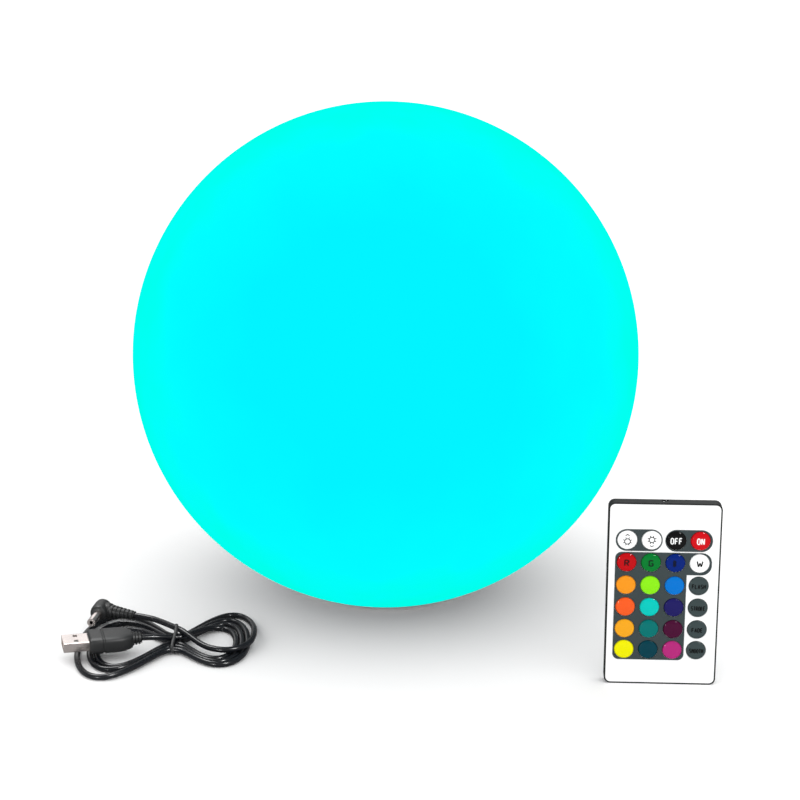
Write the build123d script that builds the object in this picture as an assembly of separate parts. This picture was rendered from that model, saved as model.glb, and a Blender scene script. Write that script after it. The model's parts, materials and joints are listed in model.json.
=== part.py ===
from build123d import *
import os
from math import atan2, cos, pi, radians, sin, sqrt, tan

# Floating pool light: a rechargeable glowing ball with a screw-out base, its charging lead
# and its infrared remote, laid out together on one level surface.
# Millimetres, +Z up. The origin is the centre of the ball's flat foot, on the surface.

# How far a cutting shape runs past what it cuts, and how far joined shapes run into each other.
PAST = 1.0
OVERLAP = 0.1

# ---- Ball shell and the plug that closes it -------------------------------------------------
BALL_R = 125.0
SHELL_WALL = 3.0
FOOT_R = 38.0
SEAM_R = 46.0
SEAM_GAP = 0.3
BALL_Z = sqrt(BALL_R ** 2 - FOOT_R ** 2)

CAP_EDGE_TOP = 3.0
FLOOR_TOP = 4.0
COLLAR_R_IN = 36.5
COLLAR_R = 39.6
COLLAR_TOP = 24.0
NECK_R_IN = 41.5
NECK_R = 45.0
NECK_BOTTOM = 5.0
NECK_TOP = 26.0
GRIP_NOTCHES = 12
GRIP_NOTCH_R = (41.5, 47.0)
GRIP_NOTCH_HALF_WIDTH = 2.2
GRIP_NOTCH_TOP = 1.7

THREAD_PITCH = 4.0
THREAD_TURNS = 2.5
MALE_THREAD_R = 41.2
MALE_THREAD_Z = 8.0
FEMALE_THREAD_R = 40.0
FEMALE_THREAD_Z = MALE_THREAD_Z + THREAD_PITCH / 2
RIB_ROOT = 1.6
RIB_CREST = 0.8
RIB_BURIED = 0.3

SEAL_R_IN = 41.8
SEAL_R = 45.3
SEAL_CORNER = 0.5

# ---- What the base cap carries ---------------------------------------------------------------
SCREW_CIRCLE_R = 32.0
BOSS_R = 4.4
BOSS_STEP_Z = 16.0
BOSS_TOP_R = 3.0
PILOT_R = 1.55
SCREW_R = 1.45
SCREW_CLEARANCE_R = 1.7
SCREW_LENGTH = 8.0
SCREW_HEAD_R = 2.8
SCREW_HEAD = 1.8
DRIVE_HALF_LENGTH = 1.9
DRIVE_HALF_WIDTH = 0.35
DRIVE_FLOOR = 0.9
HEAD_GAP = 0.2

BALLAST_R_IN = 22.0
BALLAST_R = 35.8
BALLAST_BOTTOM = 4.3
BALLAST_TOP = 10.3
BALLAST_GAP = 0.4

BOARD_R = 34.0
BOARD_BOTTOM = BOSS_STEP_Z
BOARD_TOP = BOARD_BOTTOM + 1.6
BOARD_HOLE_GAP = 0.2
BOARD_CHIPS = [
    ((-4, 4), (-14, -6), 1.6),
    ((10, 16), (4, 10), 3.0),
    ((-20, -12), (-18, -10), 2.0),
    ((-18, -16), (4, 5.2), 0.7),
    ((-14, -12), (4, 5.2), 0.7),
    ((-10, -8), (4, 5.2), 0.7),
    ((-6, -4), (4, 5.2), 0.7),
    ((-2, 0), (4, 5.2), 0.7),
]
CAPACITOR_R = 3.2
CAPACITOR_HEIGHT = 5.5
CAPACITOR_PLACES = [(18, -10), (25, -4)]

JACK_X = -13.0
JACK_SIDE = 9.0
JACK_BORE_R = 2.05
JACK_PIN_R = 0.75
JACK_BORE_TOP = 13.5
JACK_PIN_BOTTOM = 5.0
PORT_HOLE_R = 3.2

POCKET_DEPTH = 2.2
POCKET_HALF_WIDTH = 6.5
COVER_GAP = 0.3
COVER_TOP = 2.1
COVER_PIVOT_Y = 14.0
COVER_PIVOT_Z = 1.2
TRUNNION_R = 0.5
TRUNNION_BORE_R = 0.55
TRUNNION_LENGTH = 1.0
TRUNNION_END_GAP = 0.2
STUB_R = (2.85, 2.4)
STUB_HEIGHT = 1.75
TAB_GAP = 0.6

BUTTON_X = 13.0
BUTTON_R = 6.0
BUTTON_HOLE_R = 6.3
BUTTON_FLANGE_R = 7.5
BUTTON_BOTTOM = 0.6
BUTTON_STEM_R = 2.5
BUTTON_STEM_TOP = 8.0
BUTTON_BODY_TOP = 4.4
BUTTON_FLANGE = (4.2, 5.2)
BUTTON_DISH_R = 16.2
BUTTON_DISH = 0.7
SWITCH_SIDE = 6.2
SWITCH_BOTTOM = 11.0
SWITCH_TIP_R = 1.75
SWITCH_TIP_Z = 9.25

INDICATOR_Y = -16.0
INDICATOR_R = 1.5
INDICATOR_GAP = 0.05
INDICATOR_BOTTOM = 0.3
INDICATOR_TOP = 15.0
INDICATOR_FLANGE_R = 2.6
INDICATOR_FLANGE = 1.0

# ---- Core that holds the cells and the lights --------------------------------------------------
CORE_R_IN = 25.0
CORE_R = 27.0
CORE_BOTTOM = COLLAR_TOP
CORE_TOP = 96.0
CORE_FLANGE_R = 39.2
CORE_FLANGE = 2.5
LIGHT_FLANGE_R = 36.5
LIGHT_FLANGE = 3.0
RIB_HALF_WIDTH = 0.8
RIB_GAP = 0.3
RIB_IN_WALL = 0.4
RIB_Z = (26.0, 88.0)
WIRE_GATE = ((-6, 6), (18.5, 24.5))
CELL_R = 9.2
CELL_LENGTH = 65.0
CELL_X = 9.6
CELL_BOTTOM = 27.0
CELL_BUTTON_R = 3.0
CELL_BUTTON = 1.2
CELL_LINK_HALF = (4.0, 3.0)
CELL_LINK = 0.3
LED_BOARD_TOP = CORE_TOP + 1.6
CHIP_SIDE = 5.0
CHIP_HEIGHT = 1.6
CHIP_CUP = (1.4, 2.0, 0.6)
CHIP_RINGS = [(10, 6, 0), (20, 12, 15)]
RECEIVER_HALF = (3.0, 2.2)
RECEIVER_HEIGHT = 6.5
RECEIVER_EYE_R = 1.8
RECEIVER_EYE_Z = 3.8
DOME_R_IN = 28.5
DOME_SEAL_R_IN = 28.1
DOME_WALL = 1.8
DOME_BOTTOM = 97.0
DOME_FLANGE_TOP = 99.5
DOME_SPRING_Z = 105.0
DOME_TOP = 125.0
WIRE_R = 0.6
WIRE_X = (-3, -1, 1, 3)
WIRE_Y = 21.5
PLUG_HALF = (5.0, 1.5)
PLUG_HEIGHT = 4.0

# ---- Charging lead -----------------------------------------------------------------------------
CORD_D = 2.8
CORD_R = CORD_D / 2
HANK_LOBES = [(-123.5, -90.0, 22.3, 41.5), (-79.0, -85.0, 18.3, 33.5)]
HANK_HEIGHT = 4.0
HANK_EDGE = 1.0
WAIST_X = (-102.0, -95.0)
WAIST_Y = (-99.2, -79.0)
WAIST_Z = (0.9, 9.4)
TIE_X = (-100.3, -97.5)
TIE_THICK = 0.9

USB_ROUTE = [
    (-113.7, -96.4, 8.0),
    (-107.5, -94.8, 7.8),
    (-99.5, -89.5, 5.1),
]
DC_ROUTE = [
    (-120.4, -68.5, 7.8),
    (-113.1, -70.7, 7.6),
    (-106.8, -76.2, 7.8),
    (-99.5, -83.6, 7.9),
]

USB_TIP = (-149.0, -105.8, 8.8)
USB_SHELL = (11.8, 12.0, 4.5)
USB_SHELL_WALL = 0.3
USB_SHELL_CORNER = 0.6
USB_SHELL_BACK = 0.5
USB_WINDOW = (2.4, 2.0)
USB_WINDOW_PLACE = (3.0, 6.0)
USB_BODY = (20.5, 16.0, 8.0)
USB_BODY_CORNER = 3.0
USB_BODY_CHAMFER = 1.2
USB_TONGUE = (10.5, 11.0, 1.9)
USB_TONGUE_DROP = 0.9
USB_RELIEF_R = (3.6, 2.2)

DC_HEAD = (-137.0, -63.5, 8.9)
DC_HEAD_R = 4.3
DC_HEAD_BACK = 5.0
DC_HEAD_FRONT = 6.6
DC_HEAD_EDGE = 0.7
DC_AIM = (-0.15, -0.99, 0.0)
DC_BARREL_R = 2.0
DC_BARREL_R_IN = 0.85
DC_BARREL_LENGTH = 10.4
DC_BOOT_R = (3.6, 2.1)

# ---- Remote ------------------------------------------------------------------------------------
# Inside the remote: X across, Y from front to back, Z from its bottom edge up.
REMOTE_W = 50.0
REMOTE_H = 86.0
REMOTE_T = 6.5
REMOTE_CORNER = 3.0
REMOTE_FRONT_EDGE = (124.0, -130.8)
REMOTE_YAW = -3.0
FRONT = -REMOTE_T / 2
BACK = REMOTE_T / 2
CASE_WALL = 1.4
CASE_BACK_WALL = 0.65
CASE_BACK_EDGE = 1.2
CASE_INNER_CORNER = 1.6
POST_R = 1.5
POST_X = 21.0
POST_Z = (8.0, 43.0, 78.0)
RIM = 0.6
PLATE_BACK = FRONT + 0.9
PLATE_GAP = 0.1
PANEL_THICK = 0.2

KEY_COLUMNS = [-16.45, -5.7, 5.1, 15.8]
KEY_ROWS = [68.75, 58.20, 47.50, 37.10, 26.70, 16.70]
KEY_HOLE_R = 4.5
KEY_R = 4.3
KEY_RIM = 3.7
KEY_CROWN = 4.35
KEY_FLANGE_R = 4.8
KEY_FLANGE = (1.9, 2.3)
KEY_STEM_R = 2.0
KEY_STEM_END = 1.75
KEY_NAMES = [
    ["key_brighter", "key_dimmer", "key_off", "key_on"],
    ["key_red", "key_green", "key_blue", "key_white"],
    ["key_orange", "key_lime", "key_azure", "key_flash"],
    ["key_vermilion", "key_turquoise", "key_navy", "key_strobe"],
    ["key_amber", "key_teal", "key_plum", "key_fade"],
    ["key_yellow", "key_petrol", "key_magenta", "key_smooth"],
]

PILL_Z = (63.6, 73.73)
PILL_CORNER = 4.9
LEFT_PILL_X = (-21.5, -0.9)
RIGHT_PILL_X = (0.35, 21.2)
COLOUR_PANEL_X = (-21.5, 21.2)
COLOUR_PANEL_TOP = (52.6, 63.0)
COLOUR_PANEL_CORNER = 4.5
COLOUR_PANEL_STEM_X = (-21.5, 10.3)
COLOUR_PANEL_STEM_CORNER = 2.8
COLOUR_PANEL_FOOT = 11.75

BOARD_FRONT = -1.1
BOARD_BACK = -0.5
BOARD_EDGE_GAP = 0.3
BOARD_CORNER = 1.2
SNAP_R = 3.4
SNAP_THICK = 0.2
COIN_R = 10.0
COIN_THICK = 2.5
TRAY_W = 24.0
TRAY_H = 26.0
TRAY_FRONT = -0.4
TRAY_BACK = 2.55
TRAY_FLOOR = 0.35
TRAY_GAP = 0.2
TRAY_FACE_GAP = 0.05
TRAY_GRIP = (6.0, 0.5, 1.2)
COIN_Z = 13.5
COIN_CAN_THICK = 2.1
COIN_STEP = 1.2
COIN_GAP = 0.15
IR_LED_R = 1.4
IR_LED_Y = 1.05
IR_LED_GAP = 0.2
IR_LED_BASE = 80.2
IR_LED_BELOW_TOP = 0.2


# ---- Small helpers -----------------------------------------------------------------------------

def sphere_height(radius, reach):
    """Height at which the lower half of a sphere about the ball's centre has this reach."""
    return BALL_Z - sqrt(radius ** 2 - reach ** 2)


def turned(*edges):
    """Solid of revolution about Z from the edges of a closed outline in (radius, height)."""
    return revolve(Plane.XZ * Face(Wire(list(edges))), Axis.Z)


def turned_polygon(*corners):
    """Solid of revolution about Z from a closed polygon of (radius, height) corners."""
    closed = list(corners) + [corners[0]]
    return turned(*[Line(a, b) for a, b in zip(closed, closed[1:])])


def crown_arc(edge_r, edge_z, top_z):
    """Arc in (radius, height) from a rim to the axis, level where it meets the axis."""
    rise = top_z - edge_z
    bend = (edge_r ** 2 + rise ** 2) / (2 * rise)
    half_angle = atan2(edge_r, bend - rise) / 2
    middle = (bend * sin(half_angle), top_z - bend + bend * cos(half_angle))
    return ThreePointArc((edge_r, edge_z), middle, (0, top_z))


def rod(radius, low, high, x=0.0, y=0.0):
    """Upright cylinder between two heights."""
    return Pos(x, y, low) * extrude(Circle(radius), amount=high - low)


def ring(r_in, r_out, low, high):
    """Upright ring between two heights."""
    return turned_polygon((r_in, low), (r_out, low), (r_out, high), (r_in, high))


def block(x, y, z):
    """Box from three (low, high) pairs."""
    size = Box(x[1] - x[0], y[1] - y[0], z[1] - z[0])
    return Pos((x[0] + x[1]) / 2, (y[0] + y[1]) / 2, (z[0] + z[1]) / 2) * size


def around(radius, count, first=0.0):
    """Points evenly spaced on a circle about Z."""
    angles = [radians(first) + 2 * pi * k / count for k in range(count)]
    return [(radius * cos(a), radius * sin(a)) for a in angles]


def screw_places():
    return around(SCREW_CIRCLE_R, 4, 45)


def merge(shapes):
    """One compound holding separate solids."""
    return Compound([solid for shape in shapes for solid in shape.solids()])


# ---- Ball: shell, cap and seal -----------------------------------------------------------------

def helical_rib(root_r, crest_r, z_start):
    """One multi-turn thread rib that stands on a cylinder of root_r, outwards or inwards."""
    outwards = 1 if crest_r > root_r else -1
    path = Helix(THREAD_PITCH, THREAD_TURNS * THREAD_PITCH, root_r, center=(0, 0, z_start))
    section = Polygon(
        (-outwards * RIB_BURIED, -RIB_ROOT / 2),
        (crest_r - root_r, -RIB_CREST / 2),
        (crest_r - root_r, RIB_CREST / 2),
        (-outwards * RIB_BURIED, RIB_ROOT / 2),
        align=None,
    )
    start = Plane(origin=path @ 0, x_dir=(1, 0, 0), z_dir=path % 0)
    return sweep(start * section, path=path, is_frenet=True)


def make_ball_shell():
    inner = BALL_R - SHELL_WALL
    lip_r = SEAM_R + SEAM_GAP
    neck_meets_wall = BALL_Z - sqrt(inner ** 2 - NECK_R ** 2)
    lip = (lip_r, sphere_height(BALL_R, lip_r))
    shell = turned(
        Line((NECK_R_IN, NECK_BOTTOM), (lip_r, NECK_BOTTOM)),
        Line((lip_r, NECK_BOTTOM), lip),
        ThreePointArc(lip, (BALL_R, BALL_Z), (0, BALL_Z + BALL_R)),
        Line((0, BALL_Z + BALL_R), (0, BALL_Z + inner)),
        ThreePointArc((0, BALL_Z + inner), (inner, BALL_Z), (NECK_R, neck_meets_wall)),
        Line((NECK_R, neck_meets_wall), (NECK_R, NECK_TOP)),
        Line((NECK_R, NECK_TOP), (NECK_R_IN, NECK_TOP)),
        Line((NECK_R_IN, NECK_TOP), (NECK_R_IN, NECK_BOTTOM)),
    )
    return shell + helical_rib(NECK_R_IN, FEMALE_THREAD_R, FEMALE_THREAD_Z)


def port_pocket():
    """Recess in the cap's underside for the port cover, with a finger notch at its free end."""
    free_end = -POCKET_HALF_WIDTH
    hinge_end = COVER_PIVOT_Y + COVER_TOP - COVER_PIVOT_Z + COVER_GAP
    slot = block(
        (JACK_X - POCKET_HALF_WIDTH, JACK_X + POCKET_HALF_WIDTH),
        (0, hinge_end),
        (-PAST, POCKET_DEPTH),
    )
    slot += rod(POCKET_HALF_WIDTH, -PAST, POCKET_DEPTH, JACK_X, 0)
    slot += rod(POCKET_HALF_WIDTH / 2, -PAST, POCKET_DEPTH, JACK_X, free_end)
    return slot


def cross_rod(radius, half_length):
    """Rod along X at the port cover's pivot."""
    bar = Rot(0, 90, 0) * Cylinder(radius, 2 * half_length)
    return Pos(JACK_X, COVER_PIVOT_Y, COVER_PIVOT_Z) * bar


def make_base_cap():
    flank_mid_r = (FOOT_R + SEAM_R) / 2
    seam = (SEAM_R, sphere_height(BALL_R, SEAM_R))
    cap = turned(
        Line((0, 0), (FOOT_R, 0)),
        ThreePointArc((FOOT_R, 0), (flank_mid_r, sphere_height(BALL_R, flank_mid_r)), seam),
        Line(seam, (SEAM_R, CAP_EDGE_TOP)),
        Line((SEAM_R, CAP_EDGE_TOP), (COLLAR_R, CAP_EDGE_TOP)),
        Line((COLLAR_R, CAP_EDGE_TOP), (COLLAR_R, COLLAR_TOP)),
        Line((COLLAR_R, COLLAR_TOP), (COLLAR_R_IN, COLLAR_TOP)),
        Line((COLLAR_R_IN, COLLAR_TOP), (COLLAR_R_IN, FLOOR_TOP)),
        Line((COLLAR_R_IN, FLOOR_TOP), (0, FLOOR_TOP)),
        Line((0, FLOOR_TOP), (0, 0)),
    )
    for x, y in screw_places():
        cap += rod(BOSS_R, FLOOR_TOP - OVERLAP, BOSS_STEP_Z, x, y)
        cap += rod(BOSS_TOP_R, BOSS_STEP_Z, COLLAR_TOP, x, y)
        cap -= rod(PILOT_R, COLLAR_TOP - SCREW_LENGTH, COLLAR_TOP, x, y)
    cap += helical_rib(COLLAR_R, MALE_THREAD_R, MALE_THREAD_Z)
    for k in range(GRIP_NOTCHES):
        half = GRIP_NOTCH_HALF_WIDTH
        notch = block(GRIP_NOTCH_R, (-half, half), (-PAST, GRIP_NOTCH_TOP))
        cap -= Rot(0, 0, 360 / GRIP_NOTCHES * (k + 0.5)) * notch
    cap -= port_pocket()
    cap -= rod(PORT_HOLE_R, 0, FLOOR_TOP, JACK_X, 0)
    cap -= cross_rod(TRUNNION_BORE_R, POCKET_HALF_WIDTH + TRUNNION_LENGTH)
    cap -= rod(BUTTON_HOLE_R, -PAST, FLOOR_TOP, BUTTON_X, 0)
    cap -= rod(INDICATOR_R + INDICATOR_GAP, -PAST, FLOOR_TOP, 0, INDICATOR_Y)
    return cap


def make_seal_ring():
    profile = RectangleRounded(SEAL_R - SEAL_R_IN, NECK_BOTTOM - CAP_EDGE_TOP, SEAL_CORNER)
    middle = Pos((SEAL_R + SEAL_R_IN) / 2, (NECK_BOTTOM + CAP_EDGE_TOP) / 2)
    return revolve(Plane.XZ * (middle * profile), Axis.Z)


# ---- Ball: what sits in the base ---------------------------------------------------------------

def make_ballast_ring():
    ballast = ring(BALLAST_R_IN, BALLAST_R, BALLAST_BOTTOM, BALLAST_TOP)
    for x, y in screw_places():
        ballast -= rod(BOSS_R + BALLAST_GAP, BALLAST_BOTTOM - PAST, BALLAST_TOP + PAST, x, y)
    return ballast


def make_power_button():
    button = rod(BUTTON_R, BUTTON_BOTTOM, BUTTON_BODY_TOP, BUTTON_X, 0)
    button += rod(BUTTON_FLANGE_R, *BUTTON_FLANGE, BUTTON_X, 0)
    button += rod(BUTTON_STEM_R, BUTTON_FLANGE[1] - OVERLAP, BUTTON_STEM_TOP, BUTTON_X, 0)
    dish = Pos(BUTTON_X, 0, BUTTON_BOTTOM - BUTTON_DISH_R + BUTTON_DISH) * Sphere(BUTTON_DISH_R)
    return button - dish


def make_power_switch():
    half = SWITCH_SIDE / 2
    body = block((BUTTON_X - half, BUTTON_X + half), (-half, half), (SWITCH_BOTTOM, BOARD_BOTTOM))
    return body + rod(SWITCH_TIP_R, SWITCH_TIP_Z, SWITCH_BOTTOM + OVERLAP, BUTTON_X, 0)


def make_dc_jack():
    half = JACK_SIDE / 2
    body = block((JACK_X - half, JACK_X + half), (-half, half), (FLOOR_TOP, BOARD_BOTTOM))
    body -= rod(JACK_BORE_R, 0, JACK_BORE_TOP, JACK_X, 0)
    pin = rod(JACK_PIN_R, JACK_PIN_BOTTOM, JACK_BORE_TOP + OVERLAP, JACK_X, 0)
    return body + pin


def make_port_cover():
    half = POCKET_HALF_WIDTH - COVER_GAP
    knuckle_r = COVER_TOP - COVER_PIVOT_Z
    flap = rod(half, COVER_PIVOT_Z - knuckle_r, COVER_TOP, JACK_X, 0)
    flap += block(
        (JACK_X - half, JACK_X + half),
        (0, COVER_PIVOT_Y),
        (COVER_PIVOT_Z - knuckle_r, COVER_TOP),
    )
    flap += cross_rod(knuckle_r, half)
    flap += cross_rod(TRUNNION_R, POCKET_HALF_WIDTH + TRUNNION_LENGTH - TRUNNION_END_GAP)
    stub_middle = COVER_TOP + STUB_HEIGHT / 2
    stub = Pos(JACK_X, 0, stub_middle) * Cone(*STUB_R, STUB_HEIGHT)
    tab = rod(POCKET_HALF_WIDTH / 2 - TAB_GAP, COVER_PIVOT_Z, COVER_TOP, JACK_X, -half)
    return flap + stub + tab


def make_indicator_lens():
    pipe = rod(INDICATOR_R, INDICATOR_BOTTOM, INDICATOR_TOP, 0, INDICATOR_Y)
    flange_top = FLOOR_TOP + INDICATOR_FLANGE
    return pipe + rod(INDICATOR_FLANGE_R, FLOOR_TOP, flange_top, 0, INDICATOR_Y)


def make_control_board():
    board = rod(BOARD_R, BOARD_BOTTOM, BOARD_TOP)
    for x, y in screw_places():
        board -= rod(BOSS_TOP_R + BOARD_HOLE_GAP, BOARD_BOTTOM - PAST, BOARD_TOP + PAST, x, y)
    top = BOARD_TOP - OVERLAP
    for x, y, height in BOARD_CHIPS:
        board += block(x, y, (top, BOARD_TOP + height))
    for x, y in CAPACITOR_PLACES:
        board += rod(CAPACITOR_R, top, BOARD_TOP + CAPACITOR_HEIGHT, x, y)
    return board


def case_screw(x, y, seat):
    head = rod(SCREW_HEAD_R, seat, seat + SCREW_HEAD, x, y)
    shank = rod(SCREW_R, seat - SCREW_LENGTH, seat + OVERLAP, x, y)
    long, wide = DRIVE_HALF_LENGTH, DRIVE_HALF_WIDTH
    depth = (seat + DRIVE_FLOOR, seat + SCREW_HEAD + PAST)
    slots = block((x - long, x + long), (y - wide, y + wide), depth)
    slots += block((x - wide, x + wide), (y - long, y + long), depth)
    return head + shank - slots


def make_case_screws():
    places = screw_places()
    lower = [case_screw(x, y, CORE_BOTTOM + CORE_FLANGE) for x, y in places]
    upper = [case_screw(x, y, DOME_FLANGE_TOP) for x, y in places]
    return merge(lower + upper)


# ---- Ball: core, cells and lights --------------------------------------------------------------

def make_core_tube():
    core = ring(CORE_R_IN, CORE_R, CORE_BOTTOM, CORE_TOP)
    core += rod(CORE_FLANGE_R, CORE_BOTTOM, CORE_BOTTOM + CORE_FLANGE)
    core += ring(CORE_R_IN, LIGHT_FLANGE_R, CORE_TOP - LIGHT_FLANGE, CORE_TOP)
    rib_reach = sqrt(CORE_R_IN ** 2 - CELL_X ** 2) + RIB_IN_WALL
    for x in (-CELL_X, CELL_X):
        for side in (-1, 1):
            y = sorted((side * (CELL_R + RIB_GAP), side * rib_reach))
            core += block((x - RIB_HALF_WIDTH, x + RIB_HALF_WIDTH), y, RIB_Z)
    through_foot = (CORE_BOTTOM - PAST, CORE_BOTTOM + CORE_FLANGE + PAST)
    core -= block(*WIRE_GATE, through_foot)
    for x, y in screw_places():
        core -= rod(SCREW_CLEARANCE_R, *through_foot, x, y)
        core -= rod(PILOT_R, CORE_TOP - LIGHT_FLANGE - PAST, CORE_TOP + PAST, x, y)
    return core


def make_battery_cells():
    cells = []
    for x in (-CELL_X, CELL_X):
        shoulder = CELL_BOTTOM + CELL_LENGTH - CELL_BUTTON
        cell = rod(CELL_R, CELL_BOTTOM, shoulder, x, 0)
        cell += rod(CELL_BUTTON_R, shoulder - OVERLAP, CELL_BOTTOM + CELL_LENGTH, x, 0)
        cells.append(cell)
    half_x, half_y = CELL_LINK_HALF
    link_bottom = CELL_BOTTOM + CELL_LENGTH
    link_z = (link_bottom, link_bottom + CELL_LINK)
    link = block((-CELL_X - half_x, CELL_X + half_x), (-half_y, half_y), link_z)
    return merge(cells + [link])


def make_led_board():
    return rod(CORE_R, CORE_TOP, LED_BOARD_TOP)


def make_led_chips():
    half = CHIP_SIDE / 2
    chip = block((-half, half), (-half, half), (LED_BOARD_TOP, LED_BOARD_TOP + CHIP_HEIGHT))
    chip -= Pos(0, 0, LED_BOARD_TOP + CHIP_HEIGHT) * Cone(*CHIP_CUP)
    places = [place for circle in CHIP_RINGS for place in around(*circle)]
    return merge([Pos(x, y, 0) * chip for x, y in places])


def make_ir_receiver():
    half_x, half_y = RECEIVER_HALF
    height = (LED_BOARD_TOP, LED_BOARD_TOP + RECEIVER_HEIGHT)
    body = block((-half_x, half_x), (-half_y, half_y), height)
    return body + Pos(0, -half_y, LED_BOARD_TOP + RECEIVER_EYE_Z) * Sphere(RECEIVER_EYE_R)


def make_dome_seal():
    seal = ring(DOME_SEAL_R_IN, LIGHT_FLANGE_R, CORE_TOP, DOME_BOTTOM)
    for x, y in screw_places():
        seal -= rod(SCREW_CLEARANCE_R, CORE_TOP - PAST, DOME_BOTTOM + PAST, x, y)
    return seal


def make_lens_dome():
    outer = DOME_R_IN + DOME_WALL
    inner_top = DOME_TOP - DOME_WALL
    dome = turned(
        Line((DOME_R_IN, DOME_BOTTOM), (LIGHT_FLANGE_R, DOME_BOTTOM)),
        Line((LIGHT_FLANGE_R, DOME_BOTTOM), (LIGHT_FLANGE_R, DOME_FLANGE_TOP)),
        Line((LIGHT_FLANGE_R, DOME_FLANGE_TOP), (outer, DOME_FLANGE_TOP)),
        Line((outer, DOME_FLANGE_TOP), (outer, DOME_SPRING_Z)),
        crown_arc(outer, DOME_SPRING_Z, DOME_TOP),
        Line((0, DOME_TOP), (0, inner_top)),
        crown_arc(DOME_R_IN, DOME_SPRING_Z, inner_top),
        Line((DOME_R_IN, DOME_SPRING_Z), (DOME_R_IN, DOME_BOTTOM)),
    )
    for x, y in screw_places():
        dome -= rod(SCREW_CLEARANCE_R, DOME_BOTTOM - PAST, DOME_FLANGE_TOP + PAST, x, y)
        dome -= rod(SCREW_HEAD_R + HEAD_GAP, DOME_FLANGE_TOP, DOME_SPRING_Z, x, y)
    return dome


def make_wire_loom():
    half_x, half_y = PLUG_HALF
    across = (-half_x, half_x)
    depth = (WIRE_Y - half_y, WIRE_Y + half_y)
    low_top = BOARD_TOP + PLUG_HEIGHT
    high_bottom = CORE_TOP - PLUG_HEIGHT
    loom = block(across, depth, (BOARD_TOP, low_top))
    loom += block(across, depth, (high_bottom, CORE_TOP))
    for x in WIRE_X:
        loom += rod(WIRE_R, low_top - OVERLAP, high_bottom + OVERLAP, x, WIRE_Y)
    return loom


# ---- Charging lead -----------------------------------------------------------------------------

def lead_path(route):
    """Straight runs joined by arcs, each as large as its two runs allow, and their radii."""
    points = [Vector(*p) for p in route]
    radii = []
    for before, here, after in zip(points, points[1:], points[2:]):
        shorter = min((here - before).length, (after - here).length)
        half_turn = radians((here - before).get_angle(after - here)) / 2
        radii.append(0.45 * shorter / tan(half_turn))
    return FilletPolyline(*points, radius=radii), radii


def lead_tube(route):
    path, radii = lead_path(route)
    section = Plane(origin=path @ 0, z_dir=path % 0) * Circle(CORD_R)
    tube = sweep(section, path=path)
    expected = pi * CORD_R ** 2 * path.length
    print("arc radii", [round(r, 1) for r in radii], "length", round(path.length, 1))
    print("tube volume over section times length", round(tube.volume / expected, 4))
    return tube


def make_usb_lead():
    return lead_tube(USB_ROUTE)


def make_dc_lead():
    return lead_tube(DC_ROUTE)


def lobe(x, y, half_x, half_y):
    body = extrude(Pos(x, y) * Ellipse(half_x, half_y), amount=HANK_HEIGHT)
    return chamfer(body.edges().group_by(Axis.Z)[-1], HANK_EDGE)


def make_lead_hank():
    left, right = HANK_LOBES
    hank = lobe(*left) + lobe(*right)
    hank -= block(WAIST_X, (left[1] - left[3], left[1] + left[3]), (-PAST, WAIST_Z[1]))
    hank += block(WAIST_X, WAIST_Y, WAIST_Z)
    for route in (USB_ROUTE, DC_ROUTE):
        hank -= lead_tube(route)
    return hank


def make_cable_tie():
    outside = block(
        TIE_X,
        (WAIST_Y[0] - TIE_THICK, WAIST_Y[1] + TIE_THICK),
        (WAIST_Z[0] - TIE_THICK, WAIST_Z[1] + TIE_THICK),
    )
    inside = block((TIE_X[0] - PAST, TIE_X[1] + PAST), WAIST_Y, WAIST_Z)
    return outside - inside


def usb_frame():
    """Plane at the plug's tip, its normal along the plug towards the cord."""
    tip = Vector(*USB_TIP)
    along = Vector(*USB_ROUTE[0]) - tip
    across = Vector(0, 0, 1).cross(along)
    return Plane(origin=tip, x_dir=across, z_dir=along), along.length


def make_usb_shell():
    frame, _ = usb_frame()
    length, width, height = USB_SHELL
    wall = USB_SHELL_WALL
    shell = extrude(RectangleRounded(width, height, USB_SHELL_CORNER), amount=length)
    hollow = RectangleRounded(width - 2 * wall, height - 2 * wall, USB_SHELL_CORNER - wall)
    shell -= extrude(hollow, amount=length - USB_SHELL_BACK)
    window_x, window_z = USB_WINDOW_PLACE
    for x in (-window_x, window_x):
        shell -= Pos(x, 0, window_z) * Box(USB_WINDOW[0], height + 2 * PAST, USB_WINDOW[1])
    return frame * shell


def make_usb_tongue():
    frame, _ = usb_frame()
    length, width, height = USB_TONGUE
    middle = USB_SHELL[0] - USB_SHELL_BACK - length / 2
    tongue = Pos(0, -USB_TONGUE_DROP, middle) * Box(width, height, length)
    return frame * tongue


def make_usb_overmould():
    frame, length = usb_frame()
    shell_length = USB_SHELL[0]
    body_length, width, height = USB_BODY
    body = extrude(RectangleRounded(width, height, USB_BODY_CORNER), amount=body_length)
    body = Pos(0, 0, shell_length) * chamfer(body.edges().group_by(Axis.Z)[-1], USB_BODY_CHAMFER)
    relief_start = shell_length + body_length
    relief_length = length - relief_start
    relief = Cone(USB_RELIEF_R[0], USB_RELIEF_R[1], relief_length)
    return frame * (body + Pos(0, 0, relief_start + relief_length / 2) * relief)


def dc_frame():
    """Plane at the right-angle plug's centre, its normal along the barrel towards its tip."""
    return Plane(origin=DC_HEAD, x_dir=(0, 0, 1), z_dir=DC_AIM)


def make_dc_plug_body():
    head = extrude(Circle(DC_HEAD_R), amount=DC_HEAD_FRONT)
    head += extrude(Circle(DC_HEAD_R), amount=-DC_HEAD_BACK)
    head = dc_frame() * chamfer(head.edges().filter_by(GeomType.CIRCLE), DC_HEAD_EDGE)
    centre = Vector(*DC_HEAD)
    end = Vector(*DC_ROUTE[0])
    along = end - centre
    boot = Cone(DC_BOOT_R[0], DC_BOOT_R[1], along.length)
    return head + Plane(origin=centre + along * 0.5, z_dir=along) * boot


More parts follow.
